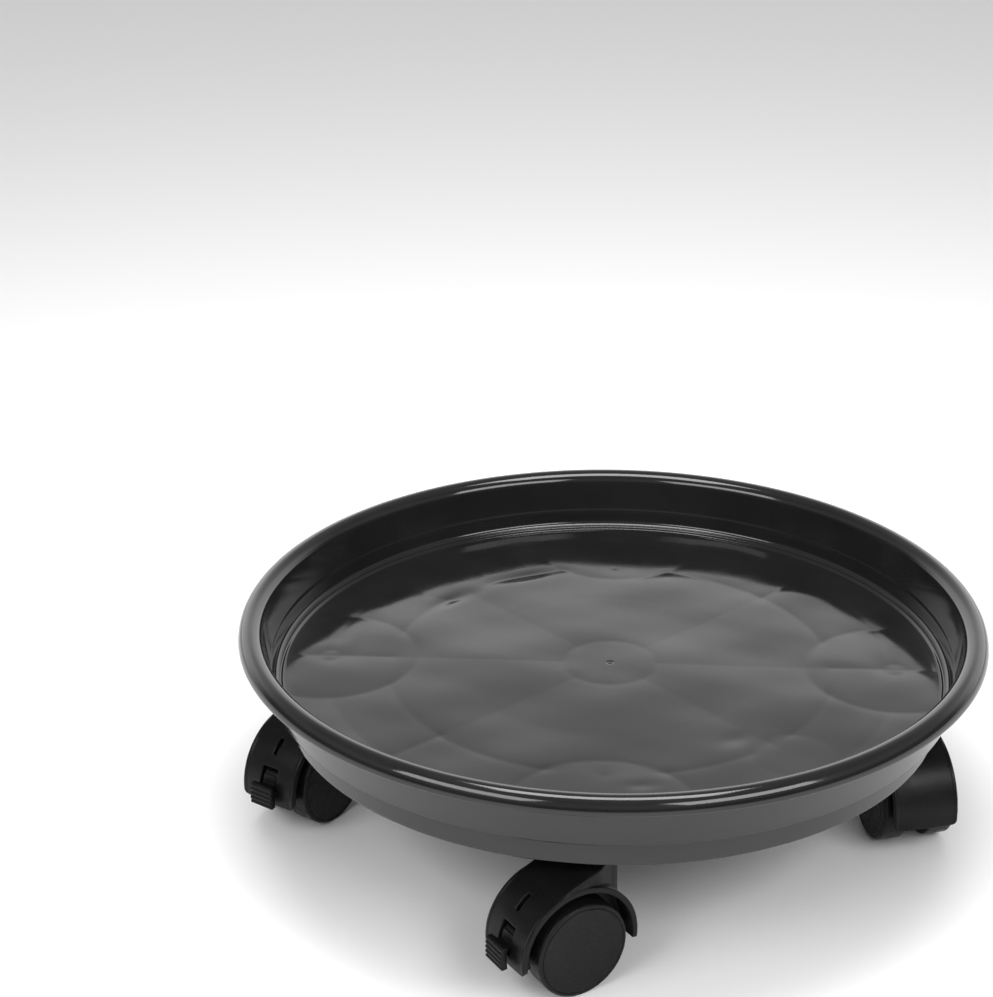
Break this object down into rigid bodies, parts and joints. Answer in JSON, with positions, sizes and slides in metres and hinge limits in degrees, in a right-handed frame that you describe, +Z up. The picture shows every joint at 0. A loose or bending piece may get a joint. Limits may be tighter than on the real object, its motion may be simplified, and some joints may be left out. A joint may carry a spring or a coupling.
{
  "type": "plant pot caddy",
  "caption": "Round rolling plant pot tray: a shallow dish with a rolled rim on swivelling twin-wheel casters, some with a toe brake.",
  "frame": {"origin": "on the ground, under the middle of the tray", "axes": "+Z up; -Y towards the front caster, which carries a brake; +X towards the right caster"},
  "size_m": [0.4, 0.4, 0.1185],
  "materials": {
    "tray": "moulded charcoal plastic, glossy inside, satin underneath",
    "hood": "black moulded nylon with a fine texture",
    "wheel": "black moulded nylon with a fine texture",
    "steel": "zinc-plated steel"
  },
  "bodies": {
    "tray": {"tray": "tray", "stem_front": "steel", "grip_ring_front": "steel", "stem_clip_front": "steel", "stem_left": "steel", "grip_ring_left": "steel", "stem_clip_left": "steel", "stem_right": "steel", "grip_ring_right": "steel", "stem_clip_right": "steel", "stem_back": "steel", "grip_ring_back": "steel", "stem_clip_back": "steel"},
    "caster_front": {"hood_front": "hood", "axle_front": "steel"},
    "wheel_front_a": {"wheel_front_a": "wheel"},
    "wheel_front_b": {"wheel_front_b": "wheel"},
    "brake_front": {"brake_front": "hood"},
    "caster_left": {"hood_left": "hood", "axle_left": "steel"},
    "wheel_left_a": {"wheel_left_a": "wheel"},
    "wheel_left_b": {"wheel_left_b": "wheel"},
    "brake_left": {"brake_left": "hood"},
    "caster_right": {"hood_right": "hood", "axle_right": "steel"},
    "wheel_right_a": {"wheel_right_a": "wheel"},
    "wheel_right_b": {"wheel_right_b": "wheel"},
    "caster_back": {"hood_back": "hood", "axle_back": "steel"},
    "wheel_back_a": {"wheel_back_a": "wheel"},
    "wheel_back_b": {"wheel_back_b": "wheel"}
  },
  "joints": [
    {"name": "swivel_front", "type": "hinge", "parent": "tray", "child": "caster_front", "pos_m": [0, -0.1534, 0.05], "axis": [0, 0, 1], "continuous": true},
    {"name": "roll_front_a", "type": "hinge", "parent": "caster_front", "child": "wheel_front_a", "pos_m": [-0.01884, -0.16659, 0.025], "axis": [0.5736, -0.8192, 0], "continuous": true},
    {"name": "roll_front_b", "type": "hinge", "parent": "caster_front", "child": "wheel_front_b", "pos_m": [-0.01884, -0.16659, 0.025], "axis": [0.5736, -0.8192, 0], "continuous": true},
    {"name": "brake_press_front", "type": "hinge", "parent": "caster_front", "child": "brake_front", "pos_m": [-0.04108, -0.18216, 0.03461], "axis": [0.5736, -0.8192, 0], "range_deg": [0, 5]},
    {"name": "swivel_left", "type": "hinge", "parent": "tray", "child": "caster_left", "pos_m": [-0.1534, 0, 0.05], "axis": [0, 0, 1], "continuous": true},
    {"name": "roll_left_a", "type": "hinge", "parent": "caster_left", "child": "wheel_left_a", "pos_m": [-0.16559, -0.01951, 0.025], "axis": [0.848, -0.5299, 0], "continuous": true},
    {"name": "roll_left_b", "type": "hinge", "parent": "caster_left", "child": "wheel_left_b", "pos_m": [-0.16559, -0.01951, 0.025], "axis": [0.848, -0.5299, 0], "continuous": true},
    {"name": "brake_press_left", "type": "hinge", "parent": "caster_left", "child": "brake_left", "pos_m": [-0.17997, -0.04253, 0.03461], "axis": [0.848, -0.5299, 0], "range_deg": [0, 5]},
    {"name": "swivel_right", "type": "hinge", "parent": "tray", "child": "caster_right", "pos_m": [0.1534, 0, 0.05], "axis": [0, 0, 1], "continuous": true},
    {"name": "roll_right_a", "type": "hinge", "parent": "caster_right", "child": "wheel_right_a", "pos_m": [0.15974, -0.02211, 0.025], "axis": [0.9613, 0.2756, 0], "continuous": true},
    {"name": "roll_right_b", "type": "hinge", "parent": "caster_right", "child": "wheel_right_b", "pos_m": [0.15974, -0.02211, 0.025], "axis": [0.9613, 0.2756, 0], "continuous": true},
    {"name": "swivel_back", "type": "hinge", "parent": "tray", "child": "caster_back", "pos_m": [0, 0.1534, 0.05], "axis": [0, 0, 1], "continuous": true},
    {"name": "roll_back_a", "type": "hinge", "parent": "caster_back", "child": "wheel_back_a", "pos_m": [-0.00399, 0.13075, 0.025], "axis": [0.9848, -0.1736, 0], "continuous": true},
    {"name": "roll_back_b", "type": "hinge", "parent": "caster_back", "child": "wheel_back_b", "pos_m": [-0.00399, 0.13075, 0.025], "axis": [0.9848, -0.1736, 0], "continuous": true}
  ]
}
